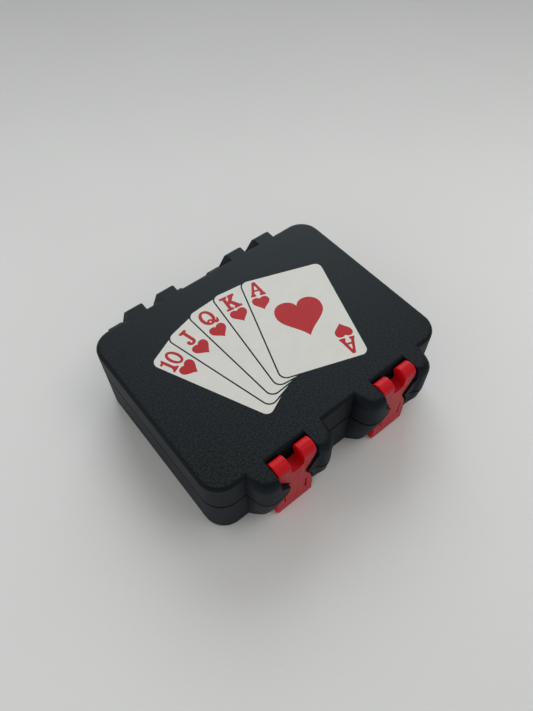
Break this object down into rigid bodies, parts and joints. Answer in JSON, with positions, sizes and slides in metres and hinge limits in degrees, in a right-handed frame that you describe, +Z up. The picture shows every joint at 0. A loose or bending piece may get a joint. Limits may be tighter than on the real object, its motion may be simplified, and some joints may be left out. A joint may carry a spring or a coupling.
{
  "type": "hinged playing card case",
  "caption": "Flat hinged case for one deck of playing cards: tray and lid on pin hinges, snap latches in front, and a fan of inlaid cards on the lid.",
  "frame": {"origin": "middle of the tray's resting face, in the middle of the case's width and depth", "axes": "+X to the right along the front as seen from the latches, -Y towards the latches, +Y towards the hinges, +Z up through the lid"},
  "size_m": [0.1, 0.0924, 0.0327],
  "materials": {
    "black_print": "black printed plastic: pebbled top and underside, fine layer lines on the walls",
    "red_latch_print": "red printed plastic with fine layer lines",
    "white_inlay_print": "white printed inlay, pebbled like the lid top",
    "red_inlay_print": "red printed inlay, pebbled like the lid top",
    "steel_pin": "plain ground steel rod"
  },
  "bodies": {
    "base": {"base_shell": "black_print", "hinge_pin_left": "steel_pin", "hinge_pin_right": "steel_pin", "latch_catch_pin_left": "steel_pin", "latch_catch_pin_right": "steel_pin"},
    "lid": {"lid_shell": "black_print", "card_ten": "white_inlay_print", "card_jack": "white_inlay_print", "card_queen": "white_inlay_print", "card_king": "white_inlay_print", "card_ace": "white_inlay_print", "index_ten": "red_inlay_print", "index_jack": "red_inlay_print", "index_queen": "red_inlay_print", "index_king": "red_inlay_print", "index_ace_upper": "red_inlay_print", "index_ace_lower": "red_inlay_print", "small_hearts": "red_inlay_print", "large_heart": "red_inlay_print"},
    "latch_left": {"latch_left": "red_latch_print"},
    "latch_right": {"latch_right": "red_latch_print"}
  },
  "joints": [
    {"name": "lid_hinge", "type": "hinge", "parent": "base", "child": "lid", "pos_m": [0, 0.0429, 0.0183], "axis": [-1, 0, 0], "range_deg": [0, 180]},
    {"name": "latch_left_pivot", "type": "hinge", "parent": "lid", "child": "latch_left", "pos_m": [-0.0225, -0.0403, 0.0298], "axis": [-1, 0, 0], "range_deg": [0, 95]},
    {"name": "latch_right_pivot", "type": "hinge", "parent": "lid", "child": "latch_right", "pos_m": [0.0225, -0.0403, 0.0298], "axis": [-1, 0, 0], "range_deg": [0, 95]}
  ]
}
